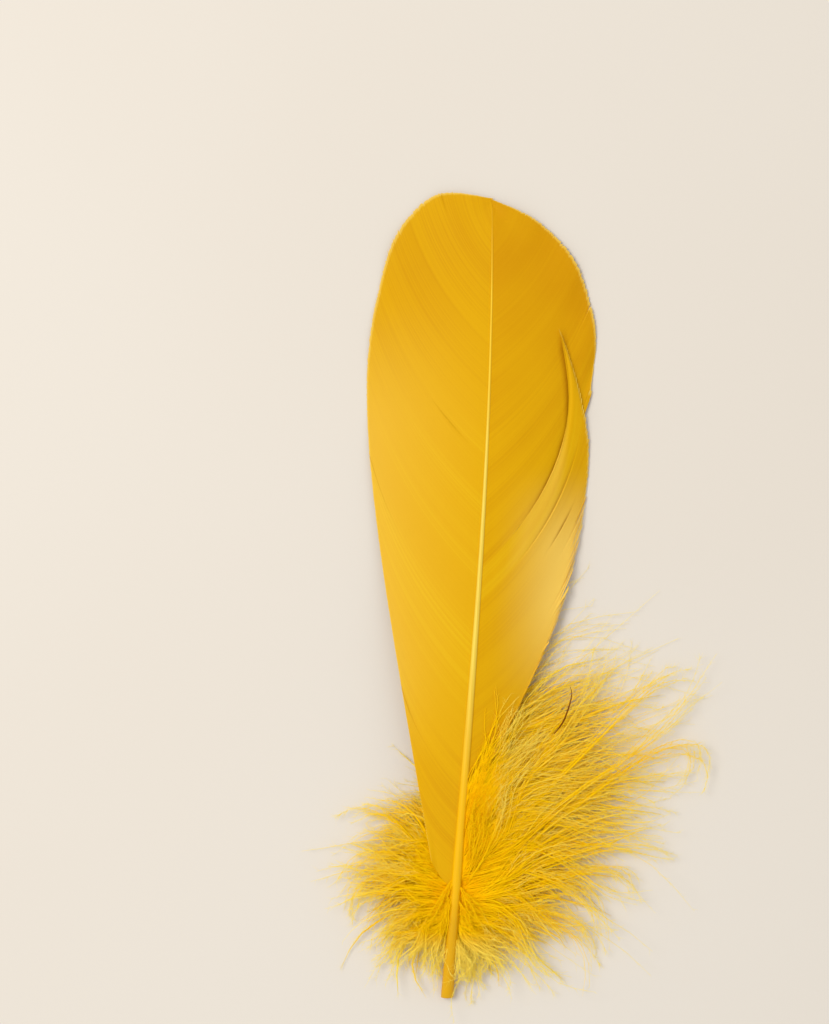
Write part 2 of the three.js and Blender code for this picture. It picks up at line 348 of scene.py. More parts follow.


# Dyed shaft: glossy, deeper at the cut end, bright gold above it, with a painted highlight making the top of
# the ridge paler than its sides, fading into the vanes at the crown, with fine streaks along it.
def makeShaftMaterial():
    material, tree = makeMaterial("dyedShaft")
    place = addNode(tree, "TexCoord").outputs["Object"]
    drawn = addNode(tree, "Mapping", Vector=place, Scale=shaftDye["streakScale"]).outputs[0]
    streak = noise(tree, drawn, 1.0, shaftDye["streakDetail"])
    # painted highlight: the top of the shaft is paler than its sides
    ridge = stretch(tree, attribute(tree, "ridge"), *shaftDye["ridgeHighlightRange"])
    along = attribute(tree, "alongShaft")
    high = stretch(tree, along, *shaftDye["highFrom"])
    ridgeHighlight = mixColour(tree, high, shaftDye["ridge"], shaftDye["highRidgeHighlight"])
    upper = mixColour(tree, ridge, shaftDye["side"], ridgeHighlight)
    lower = mixColour(tree, stretch(tree, along, *shaftDye["lowFrom"]), shaftDye["quill"], shaftDye["low"])
    whole = mixColour(tree, stretch(tree, along, *shaftDye["paleFrom"]), lower, upper)
    streaks = stretch(tree, streak, *shaftDye["streakRange"], 0.0, shaftDye["streakShare"])
    streaked = mixColour(tree, streaks, whole, shaftDye["quill"])
    crown = stretch(tree, along, *shaftDye["crownFrom"])
    faded = mixColour(tree, crown, streaked, shaftDye["crown"])
    # painted shade down the inside of the bore
    inside = mixColour(tree, attribute(tree, "bore"), faded, shaftDye["bore"])
    thinSurface(tree, inside, shaftDye["quill"], shaftDye["through"], bumps(tree, streak, shaftDye),
                Roughness=shaftDye["rough"], Specular_IOR_Level=shaftDye["shine"],
                Coat_Weight=shaftDye["coat"], Coat_Roughness=shaftDye["coatRough"])
    return material


vaneMaterial = makeVaneMaterial()
downMaterial = makeDownMaterial()
shaftMaterial = makeShaftMaterial()
print("materials made")


# Shaft: one ring carried from the tip down the outside, over the rounded rim of the cut end and up the bore.
# The section is round at the quill. Above it the lower half is squarer, with a groove along its underside.
def makeShaft():
    outer = np.linspace(shaft["length"], shaft["rim"], shaft["rings"])
    turn = np.linspace(0.0, np.pi, shaft["rimSteps"])[1:]
    rimMiddle = (shaft["quillRadius"] + shaft["boreRadius"]) / 2
    rimHalf = (shaft["quillRadius"] - shaft["boreRadius"]) / 2
    inner = np.linspace(shaft["rim"], shaft["boreDepth"], shaft["boreSteps"])[1:]
    y = np.concatenate([outer, shaft["rim"] * (1.0 - np.sin(turn)), inner])
    closing = shaft["boreDepth"] - shaft["boreClosing"]
    boreEnd = 1.0 - shaft["boreClosed"] * ease(inner, closing, shaft["boreDepth"])
    rimRadius = rimMiddle + rimHalf * np.cos(turn)
    radius = np.concatenate([shaftRadius(outer), rimRadius, shaft["boreRadius"] * boreEnd])
    isOuter = np.concatenate([np.ones(len(outer)), np.zeros(len(turn) + len(inner))])
    angle = 2 * np.pi * np.arange(shaft["sides"]) / shaft["sides"]
    square = isOuter * ease(y, *shaft["squareHeights"])
    power = 1.0 - shaft["squareness"] * square[:, None] * (np.sin(angle) < 0.0)
    x = np.sign(np.cos(angle)) * np.abs(np.cos(angle)) ** power
    z = np.sign(np.sin(angle)) * np.abs(np.sin(angle)) ** power
    below = np.exp(-((angle - 1.5 * np.pi) / shaft["grooveWidth"]) ** 2)
    z = z + shaft["groove"] * square[:, None] * below
    centre = np.stack([shaftX(y), y, shaftZ(y)], -1)[:, None]
    rings = centre + np.stack([x, np.zeros_like(x), z], -1) * radius[:, None, None]
    # how far each point faces up, for the painted highlight on top
    ridge = np.broadcast_to(np.maximum(np.sin(angle), 0.0), x.shape)
    attributes = {
        "ridge": ridge[None], "alongShaft": (y / shaft["length"])[None],
        # painted shade inside the bore, from just past the rim
        "bore": ((1.0 - isOuter) * ease(y, *shaft["boreTint"]))[None],
    }
    return carriedMesh("featherShaft", rings[None], attributes, shaftMaterial)


finishPiece(makeShaft(), "shaft")

# Vanes. A split is where the barbs have come unhooked: at which barb, from where to where along it, how far
# the two sides draw apart, how far the lower side rides up over the upper one and how dark the painted shade
# in its crease is.
vane = {
    "lastRoot": 166.9, "seat": 0.18, "edgeThickness": 0.24, "bow": 0.13, "droop": 1.7,
    "ruffle": 0.45, "ruffleCount": 5.3, "ruffleSlant": 0.4, "ruffleStart": 0.55,
    "rootShare": 0.92, "steps": 19, "tipSteps": (0.972, 0.988, 1.0), "edgeSamples": 200,
    # splits, and the loose barbs of the fringe
    "openFalloff": 0.02, "liftFalloff": 0.03, "creaseShadeFalloff": 0.004,
    "fringeRanks": (-0.06, 0.12), "fringeLengths": (-0.8, 1.0),
    "looseFrom": (0.78, 1.05), "looseSway": 0.006, "looseLift": 0.3,
    # the ribbon of one barb
    "overlap": 0.68, "ridge": 0.13, "tilt": 0.07, "spacing": (0.05, 0.6),
    "bands": 40, "bandHeight": 0.025, "bandFrom": (0.1, 0.6),
    "taper": 0.4, "taperFrom": (0.98, 1.0), "fringeTaper": 0.5, "fringeTaperFrom": (0.84, 0.98),
    "lockTaper": 0.8, "lockTaperFrom": (0.9, 1.0),
    # tones, with the painted highlight along the rim and the painted shade in the creases
    "toneSteps": 50, "broadTone": 0.1, "fineTone": 0.18, "calm": 0.6, "calmHeights": (105.0, 150.0),
    "crownTone": 0.32, "crownHeights": (108.0, 154.0), "rootHeights": (44.0, 68.0),
    "rimHighlightTone": 0.8, "rimHighlightFrom": (0.97, 0.995), "creaseShadeTone": 0.75, "mostCreaseShade": 0.9,
}
leftVane = {
    "node": "left_vane", "name": "leftVaneBarbs", "side": -1, "seed": 11, "barbs": 430,
    "firstRoot": 24.0, "reach": 25.7, "tone": 0.58, "rootTone": 0.2,
    "edge": [(-3.4, 29.7), (-9, 62), (-13.8, 92), (-16.5, 116), (-16.8, 134), (-14.6, 148.5),
             (-10.6, 161), (-2.2, 169.3), (9.6, 168.6)],
    "splits": [
        {"barb": 0.14, "start": 0.3, "open": 0.1, "lift": 0.15, "end": 1.0, "creaseShade": 0.1},
        {"barb": 0.365, "start": 0.5, "open": 0.12, "lift": 0.14, "end": 1.0, "creaseShade": 0.1},
        {"barb": 0.625, "start": 0.1, "open": 0.06, "lift": 0.26, "end": 0.42, "creaseShade": 0.0},
        {"barb": 0.885, "start": 0.75, "open": 0.15, "lift": 0.16, "end": 1.0, "creaseShade": 0.1},
    ],
    "fray": 0.003, "fringeBelow": 0.0, "fringe": 0.0,
    "fade": 0.3, "fadeLow": (46.0, 74.0), "fadeHigh": (118.0, 150.0), "fadeOut": (-0.1, 1.1),
    "lock": None,
}
rightVane = {
    "node": "right_vane", "name": "rightVaneBarbs", "side": 1, "seed": 12, "barbs": 400,
    "firstRoot": 42.0, "reach": 22.4, "tone": 0.36, "rootTone": 0.0,
    "edge": [(9.5, 51), (23.3, 80), (29.2, 105), (30.2, 126), (31.5, 138.5), (29.8, 148),
             (26.2, 156.5), (18.8, 163.9), (8.9, 168.6)],
    "splits": [
        {"barb": 0.1, "start": 0.6, "open": 0.2, "lift": 0.2, "end": 1.0, "creaseShade": 0.3},
        {"barb": 0.18, "start": 0.6, "open": 0.2, "lift": 0.2, "end": 1.0, "creaseShade": 0.4},
        {"barb": 0.245, "start": 0.66, "open": 0.2, "lift": 0.25, "end": 1.0, "creaseShade": 0.5},
        {"barb": 0.285, "start": 0.5, "open": 0.06, "lift": 0.12, "end": 0.85, "creaseShade": 0.8},
        {"barb": 0.335, "start": 0.15, "open": 0.06, "lift": 0.3, "end": 0.95, "creaseShade": 0.6},
        {"barb": 0.6, "start": 0.86, "open": 0.4, "lift": 0.2, "end": 1.0, "creaseShade": 0.3},
    ],
    "fray": 0.004, "fringeBelow": 0.26, "fringe": 0.05,
    "fade": 0.9, "fadeLow": (60.0, 86.0), "fadeHigh": (93.0, 113.0), "fadeOut": (0.05, 0.7),
    "lock": {"from": 0.3, "to": 0.39, "tip": (23.5, 141.0), "bow": 0.31, "bowShift": 0.07, "start": 0.12,
             "lift": 0.5, "liftEnds": 0.6, "tuck": 0.6, "tuckFrom": 0.7, "gather": 1.6,
             "groove": 0.2, "grooveWidth": 1.1, "creaseShadeWidth": 0.45,
             "edgeSamples": 60, "edgeFrom": (8, 24), "edgeTo": (6.0, 1.0),
             "band": (0.2, 0.5), "tone": 0.25, "fade": 0.28, "fadeIn": (0.1, 0.25), "fadeOut": (0.45, 0.7)},
}


# Height of a vane: level with the shaft beside it, turning down to the surface at its reach.
def vaneZ(side, x, y):
    away = np.clip(np.abs(x - shaftX(y)) / side["reach"], 0.0, 1.0) ** vane["droop"]
    return mix(shaftZ(y) + vane["seat"] * shaftRadius(y), vane["edgeThickness"] / 2, away)


# A barb seen from above: a quadratic curve from the shaft to the vane's free edge that bows outwards. The
# barbs of a lock bend up towards the lock's tip instead, more so towards its leading barb.
def barbLines(side, rank, along):
    rootY = mix(side["firstRoot"], vane["lastRoot"], rank)
    root = np.stack([shaftX(rootY) + side["side"] * shaftRadius(rootY) * vane["rootShare"], rootY], -1)
    tip = curveThrough(side["edge"], rank)
    bow, inLock, shift = np.full_like(rank, vane["bow"]), np.zeros_like(rank), 0.0
    lock = side["lock"]
    if lock:
        inLock = ease(rank, lock["from"], lock["to"]) * (rank < lock["to"])
        tip = mix(tip, np.array(lock["tip"]), (inLock ** lock["gather"])[..., None])
        bow = mix(bow, lock["bow"], inLock)
        shift = (lock["bowShift"] * inLock)[..., None]
    span = tip - root
    sideways = np.stack([span[..., 1], -span[..., 0]], -1) * (side["side"] * bow)[..., None]
    control = (root + tip) / 2 + sideways + span * shift
    t = along[..., None]
    flat = (1 - t) ** 2 * root + 2 * t * (1 - t) * control + t * t * tip
    return flat[..., 0], flat[..., 1], inLock


# How near a point of the vane is to the lock's leading edge, as a bell curve of the distance to its left.
def besideLock(side, rank, x, y, width):
    lock = side["lock"]
    t = np.linspace(0.0, 1.0, lock["edgeSamples"])
    edgeX, edgeY, _ = barbLines(side, np.full_like(t, lock["to"] - 1e-4), t)   # just inside it
    gap = np.interp(y, edgeY, edgeX) - x
    low, high = edgeY[list(lock["edgeFrom"])]
    before, after = lock["edgeTo"]
    ended = ease(y, lock["tip"][1] - before, lock["tip"][1] + after)
    within = ease(y, low, high) * (1.0 - ended)
    return np.exp(-(gap / width) ** 2) * within * (rank >= lock["to"])


# A barb in space: laid on the vane's height, waved towards the free edge, lifted in a lock, which
# is tucked down again at its leading edge, and sunk beside it.
def barbPaths(side, rank, along):
    x, y, inLock = barbLines(side, rank, along)
    wave = 0.5 + 0.5 * np.sin(2 * np.pi * (vane["ruffleCount"] * rank + vane["ruffleSlant"] * along))
    z = vaneZ(side, x, y) + vane["ruffle"] * wave * ease(along, vane["ruffleStart"], 1.0)
    creaseShade = np.zeros_like(x)
    lock = side["lock"]
    if lock:
        lift = lock["lift"] * inLock * (1.0 - lock["tuck"] * ease(inLock, lock["tuckFrom"], 1.0))
        z = z + lift * ease(along, lock["start"], lock["liftEnds"])
        z = z - lock["groove"] * besideLock(side, rank, x, y, lock["grooveWidth"])
        # painted shade in the crease beside the lock's leading edge
        creaseShade = besideLock(side, rank, x, y, lock["creaseShadeWidth"])
    return np.stack([x, y, z], -1), creaseShade, inLock


# A vane: barbs side by side, each a ridged ribbon a little wider than its share of the vane and tilted so
# that it laps over the next one up. The ribbon's three sides are its two edges and its ridge.
def makeVane(side):
    rng = np.random.default_rng(side["seed"])
    rank = np.linspace(0.0, 1.0, side["barbs"])[:, None]
    fringed = ease(side["fringeBelow"] - rank, *vane["fringeRanks"]) * (side["fringe"] > 0)
    length = 1.0 + side["fray"] * rng.normal(size=rank.shape)
    length = length + fringed * side["fringe"] * rng.uniform(*vane["fringeLengths"], rank.shape)
    evenSteps = np.linspace(0.0, vane["tipSteps"][0], vane["steps"] - 2)
    share = np.append(evenSteps, vane["tipSteps"][1:])[None, :]
    along = share * length
    rankAt = rank + 0.0 * along
    rise, splitShade = 0.0 * along, 0.0 * along
    edge = curveThrough(side["edge"], np.linspace(0.0, 1.0, vane["edgeSamples"]))
    edgeLength = np.linalg.norm(np.diff(edge, axis=0), axis=1).sum()
    for split in side["splits"]:
        away = rank - split["barb"]
        opened = ease(along, split["start"], split["end"])
        if split["end"] < 1.0:
            opened = np.sin(np.pi * opened)          # closes again before the free edge
        near = np.exp(-np.abs(away) / vane["openFalloff"])
        rankAt = rankAt + np.sign(away) * split["open"] / edgeLength * opened * near
        below = np.exp(np.minimum(away, 0.0) / vane["liftFalloff"]) * (away < 0)
        rise = rise + split["lift"] * opened * below
        # painted shade along the upper side of each split
        above = np.exp(-(away / vane["creaseShadeFalloff"]) ** 2) * (away >= 0)
        splitShade = splitShade + split["creaseShade"] * opened * above
    loose = fringed * ease(along, *vane["looseFrom"]) * rng.normal(size=rank.shape)
    rankAt = rankAt + loose * vane["looseSway"]
    bands = randomLine(rng, rank, vane["bands"]) * vane["bandHeight"] * ease(along, *vane["bandFrom"])
    paths, creaseShade, inLock = barbPaths(side, rankAt, along)
    paths[..., 2] += rise + bands + np.abs(loose) * vane["looseLift"]
    forward = unit(np.gradient(paths, axis=1))
    step = np.gradient(paths, axis=0)
    step = step - forward * (step * forward).sum(-1, keepdims=True)
    spacing = np.clip(np.linalg.norm(step, axis=-1), *vane["spacing"])
    normal = unit(np.cross(forward, step) * -side["side"])
    normal = normal * np.sign(normal[..., 2:3])
    across = unit(np.cross(forward, normal))
    taper = 1.0 - vane["taper"] * ease(share, *vane["taperFrom"])
    taper = taper * (1.0 - vane["fringeTaper"] * fringed * ease(share, *vane["fringeTaperFrom"]))
    lockTaper = 1.0 - vane["lockTaper"] * inLock * ease(share, *vane["lockTaperFrom"])
    half = vane["overlap"] * spacing * taper * lockTaper
    towardsTip = -side["side"]                       # which way along across the next barb up lies
    profile = [(-1.0, 0.0), (0.0, 1.0), (1.0, 0.0)]
    rings = np.stack([
        paths + across * (half * a)[..., None]
        + normal * (vane["ridge"] * half * b + vane["tilt"] * spacing * a * towardsTip)[..., None]
        for a, b in profile], axis=2)
    fine, broad = rng.uniform(0.0, 1.0, rank.shape), randomLine(rng, rank, vane["toneSteps"])
    lengthMm = np.linalg.norm(np.diff(paths, axis=1), axis=-1).sum(1, keepdims=True)
    turns = along * lengthMm * mm / vaneDye["barbuleSpacing"] + rng.uniform(0.0, 1.0, rank.shape)
    height = paths[..., 1]
    within = ease(height, *side["fadeLow"]) * (1.0 - ease(height, *side["fadeHigh"]))
    deeper = vane["crownTone"] * ease(height, *vane["crownHeights"])
    deeper = deeper + side["rootTone"] * (1.0 - ease(height, *vane["rootHeights"]))
    calm = 1.0 - vane["calm"] * ease(height, *vane["calmHeights"])
    barbTone = side["tone"] + vane["broadTone"] * broad * calm + vane["fineTone"] * (fine - 0.5) - deeper
    faded = side["fade"] * within * ease(along, *side["fadeOut"])
    lock = side["lock"]
    if lock:
        band = ease(inLock, *lock["band"])           # its leading barbs get a painted highlight, and are faded lower down
        barbTone = barbTone + lock["tone"] * band
        lockFade = ease(along, *lock["fadeIn"]) * (1.0 - ease(along, *lock["fadeOut"]))
        faded = np.maximum(faded, lock["fade"] * band * lockFade)
    attributes = {
        "barbTone": barbTone,
        "faded": faded,
        # painted highlight along the free rim
        "rim": vane["rimHighlightTone"] * ease(share, *vane["rimHighlightFrom"]) + 0.0 * rank,
        "creaseShade": np.minimum(vane["creaseShadeTone"] * creaseShade + splitShade, vane["mostCreaseShade"]),
        "barbule": 2 * np.pi * turns,
    }
    return carriedMesh(side["name"], rings, attributes, vaneMaterial, sharpSides=(0, 2))


for side in (leftVane, rightVane):
    finishPiece(makeVane(side), side["node"])

# Down. Tufts fan out from the shaft: on each side a layer of flat plumes underneath, finer tufts over it and
# a few long wisps. Layer 0 lies on the surface and 1 stands up highest. Fans and lengths are listed from the
# lowest tuft up.
down = {
    "heights": (0.0, 0.5, 1.0), "rises": (-3.2, 0.0, 2.6), "tips": (0.5, 2.2, 4.2),
    "coveredRise": -2.8, "coveredTip": 0.7, "coveredRanks": (0.45, 0.8),
    "bow": (8.0, 60.0), "bowPlace": 0.6, "lowStray": 2.2, "mostTurn": 172.0,
    "strayRanks": (0.1, 0.5), "lengthShares": (0.7, 1.02), "leastSine": 0.2, "lowBow": 0.4,
    "bowRanks": (0.0, 0.35), "rootShare": 0.6, "rootDrop": 0.4, "rootScatter": (0.1, 0.9, 0.2),
    # tufts that lie over the vane
    "overAbove": 0.5, "overRoots": (1.0, 8.0), "overBow": 10.0, "overTurn": -12.0, "overLeast": 22.0,
    "overShare": 0.6, "overRise": 1.4, "overTip": 0.9, "overGap": 0.4, "overFrom": (0.0, 0.4),
    "overCurl": 0.35,
    # barbs of a tuft
    "scatterShape": (1.0, 1.0, 0.45), "stops": (0.5, 1.05), "strayShare": 0.2, "strayReach": 4.5,
    "tuftCurl": 0.8, "barbCurl": 0.5, "wave": (0.2, 1.0), "waveTurns": (0.8, 2.4), "upWave": 0.5,
    "clearance": 0.12, "lowestSpread": 0.5, "fullLength": 40.0,
    "tipRadius": 0.02, "rootSwell": 0.45, "swellBy": 0.3, "roll": 0.5,
    "wispStops": (0.72, 1.0), "wispShape": (1.0, 1.0, 0.4),
    # barbules, paleness and the dark strand
    "barbuleLength": (0.6, 2.3), "barbuleRadius": (0.02, 0.036), "slant": (15.0, 62.0), "fluff": 1.4,
    "barbuleFrom": 0.12, "barbulePower": 0.8, "barbuleFlatness": 0.7, "barbuleTone": 0.15,
    "lowPale": 1.0, "lowPaleHeights": (7.0, 25.0), "deepBeside": (2.0, 9.0), "besidePale": 0.5,
    "darkLineTone": -1.0, "darkLineRadius": 0.05, "darkLineSwell": 0.15, "darkLineLean": 1.6,
}
# The plumes underneath take the lowest tones, which paints them in the deeper orange of shade.
plumeLayer = {
    "layers": (0.0, 0.3), "stray": 12.0, "bend": 1.8, "curl": 3.0, "barbs": 3, "barbRadius": (0.4, 1.0),
    "sides": 6, "flatness": 0.25, "pointed": 0.9, "spread": 1.6, "gather": 1.6, "reach": 0.82,
    "tones": (0.0, 0.55), "ranks": (0.1, 1.0), "steps": 9, "over": 0.0, "paleFrom": 0.0,
}
tuftLayer = {
    "layers": (0.3, 1.0), "stray": 22.0, "bend": 3.0, "curl": 8.0, "barbs": 12, "barbRadius": (0.06, 0.12),
    "sides": 3, "flatness": 0.45, "pointed": 0.6, "spread": 1.1, "gather": 0.5, "reach": 1.0,
    "tones": (0.2, 1.0), "ranks": (0.0, 1.0), "steps": 11, "paleFrom": 0.1,
}
wispLayer = {
    "barbs": 7, "barbRadius": (0.05, 0.1), "sides": 3, "flatness": 0.45, "pointed": 0.6, "apart": 1.6,
    "tones": (0.5, 1.0), "steps": 12, "paleFrom": 0.35,
}
leftFan = {
    "node": "left_down", "side": -1, "roots": (15.0, 33.0), "widest": 25.0,
    "fan": [160, 126, 100, 78, 58, 40], "lengths": [14, 20, 25, 27, 24, 17],
}
rightFan = {
    "node": "right_down", "side": 1, "roots": (14.0, 38.0), "widest": 49.0,
    "fan": [156, 112, 80, 62, 50, 36], "lengths": [12, 25, 45, 55, 61, 46],
}
leftWisps = [
    [(-1.5, 24.5, 3.5), (-9.9, 30.9, 4.6), (-18.4, 29.2, 3.6), (-23.0, 22.4, 1.4)],
    [(-1.5, 22.8, 3.2), (-11.0, 26.6, 4.8), (-18.0, 23.5, 3.4), (-20.5, 16.3, 1.2)],
    [(-1.5, 20.9, 3.0), (-8.9, 22.4, 4.4), (-15.2, 18.2, 3.2), (-17.8, 11.4, 1.0)],
    [(-1.3, 19.2, 2.8), (-6.8, 19.2, 4.0), (-10.4, 14.0, 3.0), (-12.3, 7.2, 0.9)],
    [(-1.9, 26.8, 3.6), (-9.9, 36.3, 4.0), (-17.3, 39.4, 3.0), (-22.6, 36.9, 1.4)],
    # beside the quill
    [(1.0, 25.5, 5.8), (-0.4, 22.5, 6.2), (-2.6, 17.0, 5.0), (-5.2, 9.5, 2.8)],
    [(1.0, 22.5, 5.6), (-0.2, 19.0, 5.8), (-1.4, 14.0, 4.6), (-2.6, 6.5, 2.4)],
]
rightWisps = [
    [(4.9, 24.5, 3.8), (19.7, 35.1, 5.4), (32.3, 44.6, 5.0), (42.7, 51.6, 4.2), (49.3, 53.5, 3.6),
     (52.9, 51.6, 3.0), (52.2, 46.1, 2.4), (48.4, 42.7, 2.0)],
    [(4.9, 25.6, 3.8), (23.9, 41.4, 5.6), (36.6, 49.9, 5.0), (43.3, 55.2, 4.2), (50.7, 62.8, 3.2),
     (55.6, 70.6, 1.8)],
    [(3.8, 22.4, 3.6), (17.5, 30.9, 5.4), (30.4, 37.6, 5.0), (39.8, 38.9, 3.8), (47.6, 36.6, 1.6)],
    [(3.2, 20.3, 3.4), (19.7, 28.3, 5.2), (32.4, 32.6, 4.8), (42.7, 31.9, 3.4), (49.5, 29.6, 1.4)],
    [(2.7, 19.2, 3.2), (19.7, 24.5, 5.0), (31.3, 27.5, 4.4), (37.6, 25.2, 3.0), (39.8, 18.6, 1.2)],
    [(2.7, 17.8, 3.0), (15.4, 19.2, 4.8), (27.1, 15.0, 3.8), (32.3, 7.6, 1.2)],
    [(1.7, 16.1, 2.8), (9.1, 15.0, 4.2), (17.5, 8.7, 3.2), (23.9, 1.3, 1.0)],
    [(1.1, 15.0, 2.8), (4.0, 11.8, 3.4), (5.7, 5.9, 2.4), (5.9, 0.4, 0.8)],
    [(4.9, 28.8, 4.0), (19.7, 49.9, 4.8), (30.2, 64.7, 3.8), (33.2, 75.7, 1.6)],
    [(4.9, 27.1, 4.0), (23.9, 47.8, 5.2), (38.7, 62.6, 4.2), (45.5, 67.9, 3.0), (51.4, 69.2, 1.6)],
    # beside the quill
    [(2.6, 24.0, 5.8), (4.2, 21.5, 6.2), (7.2, 17.2, 5.2), (10.6, 11.0, 3.0)],
    [(2.4, 21.0, 5.6), (3.4, 18.0, 5.8), (4.8, 13.4, 4.6), (6.2, 7.0, 2.4)],
    # low at the right
    [(3.0, 20.0, 3.0), (12.0, 24.5, 3.6), (21.5, 27.6, 3.2), (30.0, 27.8, 2.4), (37.0, 25.0, 1.2)],
    # steep, beside the shaft
    [(4.2, 26.0, 5.6), (5.9, 31.0, 6.8), (7.4, 38.0, 7.3), (10.2, 45.5, 7.2)],
    [(4.4, 25.0, 5.4), (8.0, 31.5, 6.6), (12.0, 41.5, 7.0), (13.6, 49.5, 6.6)],
    [(4.6, 27.0, 5.6), (5.2, 33.0, 7.0), (5.9, 39.0, 7.6), (7.9, 44.0, 7.6)],
]
darkStrand = [(25.7, 65.8, 4.6), (26.0, 63.7, 5.2), (24.4, 58.8, 5.6), (22.3, 55.8, 5.2)]
downPieces = [
    {**leftFan, **plumeLayer, "name": "leftPlumes", "seed": 31, "tufts": 95, "barbules": 16000},
    {**leftFan, **tuftLayer, "name": "leftTufts", "seed": 32, "tufts": 56, "barbules": 26000, "over": 0.0},
    {**leftFan, **wispLayer, "name": "leftWisps", "seed": 35, "wisps": leftWisps, "barbules": 3600},
    {**rightFan, **plumeLayer, "name": "rightPlumes", "seed": 33, "tufts": 200, "barbules": 32000},
    {**rightFan, **tuftLayer, "name": "rightLowTufts", "seed": 34, "tufts": 66, "barbules": 34000,
     "ranks": (0.0, 0.55), "over": 0.0},
    {**rightFan, **tuftLayer, "name": "rightHighTufts", "seed": 37, "tufts": 70, "barbules": 34000,
     "ranks": (0.45, 1.0), "over": 0.3},
    {**rightFan, **wispLayer, "name": "rightWisps", "seed": 36, "wisps": rightWisps, "barbules": 11000,
     "darkLine": darkStrand},
]


# Middle lines of the tufts: quadratic curves that leave the shaft, rise or dip by their layer and droop to a
# tip. Some of the upper ones lie over the vane.
def tuftCurves(side, vaneSide, rng):
    count = side["tufts"]
    rank = mix(*side["ranks"], (np.arange(count) + rng.uniform(0.0, 1.0, count)) / count)
    layer = rng.permutation(np.linspace(*side["layers"], count))
    covered = ease(rank, *down["coveredRanks"])
    over = (rng.uniform(size=count) < side["over"]) & (rank > down["overAbove"])
    rise = mix(np.interp(layer, down["heights"], down["rises"]), down["coveredRise"], covered)
    tipZ = mix(np.interp(layer, down["heights"], down["tips"]), down["coveredTip"], covered)
    turn, length = curveThrough(np.stack([side["fan"], side["lengths"]], -1), rank).T
    length = length * side["reach"] * rng.uniform(*down["lengthShares"], count)
    length = length * np.where(over, down["overShare"], 1.0)
    stray = side["stray"] * mix(down["lowStray"], 1.0, ease(rank, *down["strayRanks"]))
    turn = np.minimum(turn + stray * rng.uniform(-1.0, 1.0, count), down["mostTurn"])
    turn = np.radians(np.where(over, np.maximum(turn + down["overTurn"], down["overLeast"]), turn))
    length = np.minimum(length, side["widest"] / np.maximum(np.sin(turn), down["leastSine"]))
    bow = rng.uniform(*down["bow"], count) * mix(down["lowBow"], 1.0, ease(rank, *down["bowRanks"]))
    bow = np.radians(np.where(over, down["overBow"], bow))
    rootY = mix(*side["roots"], rank)
    overRoot = vaneSide["firstRoot"] - rng.uniform(*down["overRoots"], count)
    rootY = np.where(over, np.minimum(rootY, overRoot), rootY)
    sideways = side["side"] * down["rootShare"] * shaftRadius(rootY)
    root = np.stack([shaftX(rootY) + sideways, rootY, shaftZ(rootY) - down["rootDrop"]], -1)

    def reach(angle, distance):
        return root[:, :2] + np.stack([side["side"] * np.sin(angle), np.cos(angle)], -1) * distance[:, None]

    tipFlat, controlFlat = reach(turn, length), reach(turn - bow, length * down["bowPlace"])
    overTip = vaneZ(vaneSide, tipFlat[:, 0], tipFlat[:, 1]) + down["overTip"]
    rise = np.where(over, down["overRise"], rise)
    tipZ = np.where(over, overTip, tipZ)
    control = np.concatenate([controlFlat, (root[:, 2] + rise)[:, None]], -1)
    return root, control, np.concatenate([tipFlat, tipZ[:, None]], -1), over


# Wave of a barb: a sine with a random number of turns that grows along the barb.
def barbWave(rng, count, u):
    turns, phase = rng.uniform(*down["waveTurns"], (count, 1)), rng.uniform(0.0, 2 * np.pi, (count, 1))
    return rng.uniform(*down["wave"], (count, 1)) * u * np.sin(2 * np.pi * turns * u + phase)


# Barbs of down: each follows its tuft's curve from a root of its own, and gathers to the tuft's tip or strays
# from it. The tuft bends in an S, a sine over its length, and curls by the cube of the share of its length.
def downPaths(side, vaneSide, rng):
    root, control, tip, over = tuftCurves(side, vaneSide, rng)
    count = side["tufts"] * side["barbs"]
    tuft = np.repeat(np.arange(side["tufts"]), side["barbs"])
    u = np.linspace(0.0, 1.0, side["steps"])[None, :]

    def scatter(spread):
        return bell(rng, (count, 3)) * spread * np.array(down["scatterShape"])

    strays = (rng.uniform(size=(count, 1)) < down["strayShare"]) * down["strayReach"]
    rootOf = root[tuft] + rng.uniform(-1.0, 1.0, (count, 1)) * np.array(down["rootScatter"])
    controlOf = control[tuft] + scatter(side["spread"])
    tipOf = tip[tuft] + scatter(side["gather"]) + scatter(1.0) * strays
    t = (u * rng.uniform(*down["stops"], (count, 1)))[..., None]
    paths = (1 - t) ** 2 * rootOf[:, None] + 2 * t * (1 - t) * controlOf[:, None] + t * t * tipOf[:, None]
    across = unit(np.cross(unit(np.gradient(paths, axis=1)), up))
    scale = np.linalg.norm(tip - root, axis=-1) / down["fullLength"]
    scale = np.where(over, down["overCurl"] * scale, scale)[tuft, None]
    bend = side["bend"] * scale * bell(rng, side["tufts"])[tuft, None] * np.sin(2 * np.pi * t[..., 0])
    tuftCurl = down["tuftCurl"] * bell(rng, side["tufts"])[tuft, None]
    curl = scale * (tuftCurl + down["barbCurl"] * bell(rng, (count, 1)))
    sideways = bend + barbWave(rng, count, u) + side["curl"] * curl * t[..., 0] ** 3
    upwards = up * down["upWave"] * barbWave(rng, count, u)[..., None]
    paths = paths + across * sideways[..., None] + upwards
    lowest = down["clearance"] + side["flatness"] * side["barbRadius"][1]
    lowest = lowest + rng.uniform(0.0, down["lowestSpread"], (count, 1))
    aboveVane = vaneZ(vaneSide, paths[..., 0], paths[..., 1]) + down["overGap"] * ease(u, *down["overFrom"])
    paths[..., 2] = np.maximum(paths[..., 2], np.where(over[tuft, None], aboveVane, lowest))
    return paths, u, tuft


